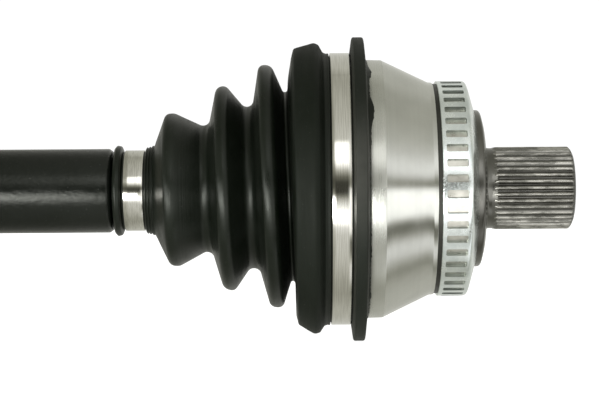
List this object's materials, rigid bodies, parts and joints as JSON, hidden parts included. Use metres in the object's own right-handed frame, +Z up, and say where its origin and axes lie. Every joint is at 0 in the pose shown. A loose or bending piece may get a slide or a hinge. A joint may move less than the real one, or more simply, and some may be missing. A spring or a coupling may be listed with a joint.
{
  "type": "cv axle",
  "caption": "Front-wheel drive shaft: ball-type constant-velocity joint with splined stub at one end, flanged plunging tripod joint at the other, rubber boots on both.",
  "frame": {"origin": "on the axle's axis, midway between the stub's end and the flange's back face, and so the centre of its box", "axes": "+X along the axle towards the wheel-end stub, Y across it, +Z up with the axle lying level"},
  "size_m": [0.54, 0.115, 0.115],
  "materials": {
    "shaft_paint": "black satin paint",
    "turned_steel": "turned, with fine rings and a film of oil",
    "forged_steel": "machined forging, lightly oiled",
    "dark_steel": "hardened and phosphated",
    "bearing_steel": "ground and polished",
    "zinc_plate": "bright zinc plate",
    "clamp_steel": "rolled stainless strip",
    "boot_rubber": "satin moulded rubber",
    "thrust_plastic": "natural nylon"
  },
  "bodies": {
    "shaft": {"axle_shaft": "shaft_paint", "outer_inner_race": "dark_steel", "outer_dished_washer": "bearing_steel", "outer_thrust_ring": "thrust_plastic", "outer_circlip": "dark_steel", "outer_boot_small_clamp": "clamp_steel", "tripod_spider": "dark_steel", "tripod_circlip": "dark_steel", "tripod_needles_1": "bearing_steel", "tripod_needles_2": "bearing_steel", "tripod_needles_3": "bearing_steel", "tripod_retainer_1": "dark_steel", "tripod_retainer_2": "dark_steel", "tripod_retainer_3": "dark_steel", "tripod_roller_2": "bearing_steel", "tripod_roller_3": "bearing_steel", "inner_boot_small_clamp": "clamp_steel"},
    "near_ball": {"outer_ball_4": "bearing_steel"},
    "cage": {"outer_ball_cage": "dark_steel", "outer_ball_2": "bearing_steel", "outer_ball_3": "bearing_steel", "outer_ball_5": "bearing_steel", "outer_ball_6": "bearing_steel"},
    "far_ball": {"outer_ball_1": "bearing_steel"},
    "wheel_end": {"outer_joint_housing": "turned_steel", "abs_ring": "zinc_plate", "outer_boot": "boot_rubber", "outer_boot_large_clamp": "clamp_steel"},
    "side_roller": {"tripod_roller_1": "bearing_steel"},
    "gearbox_end": {"inner_joint_housing": "forged_steel", "inner_end_cover": "zinc_plate", "inner_boot": "boot_rubber", "inner_boot_large_clamp": "clamp_steel"}
  },
  "joints": [
    {"name": "outer_steer", "type": "hinge", "parent": "shaft", "child": "near_ball", "pos_m": [0.1935, 0, 0], "axis": [0, 0, 1], "range_deg": [-22.5, 22.5], "deforming": ["outer_boot"]},
    {"name": "outer_bounce", "type": "hinge", "parent": "near_ball", "child": "cage", "pos_m": [0.1935, 0, 0], "axis": [0, 1, 0], "range_deg": [-7.5, 7.5]},
    {"name": "outer_bounce_half", "type": "hinge", "parent": "cage", "child": "far_ball", "pos_m": [0.1935, 0, 0], "axis": [0, 1, 0], "range_deg": [-7.5, 7.5]},
    {"name": "outer_steer_half", "type": "hinge", "parent": "far_ball", "child": "wheel_end", "pos_m": [0.1935, 0, 0], "axis": [0, 0, 1], "range_deg": [-22.5, 22.5]},
    {"name": "inner_bend", "type": "hinge", "parent": "shaft", "child": "side_roller", "pos_m": [-0.231, 0, 0], "axis": [0, 1, 0], "range_deg": [-18, 18], "deforming": ["inner_boot"]},
    {"name": "inner_plunge", "type": "slide", "parent": "side_roller", "child": "gearbox_end", "axis": [1, 0, 0], "range_m": [-0.015, 0.015]}
  ],
  "couplings": [
    {"joint": "outer_bounce_half", "follows": "outer_bounce", "ratio": 1},
    {"joint": "outer_steer_half", "follows": "outer_steer", "ratio": 1}
  ]
}
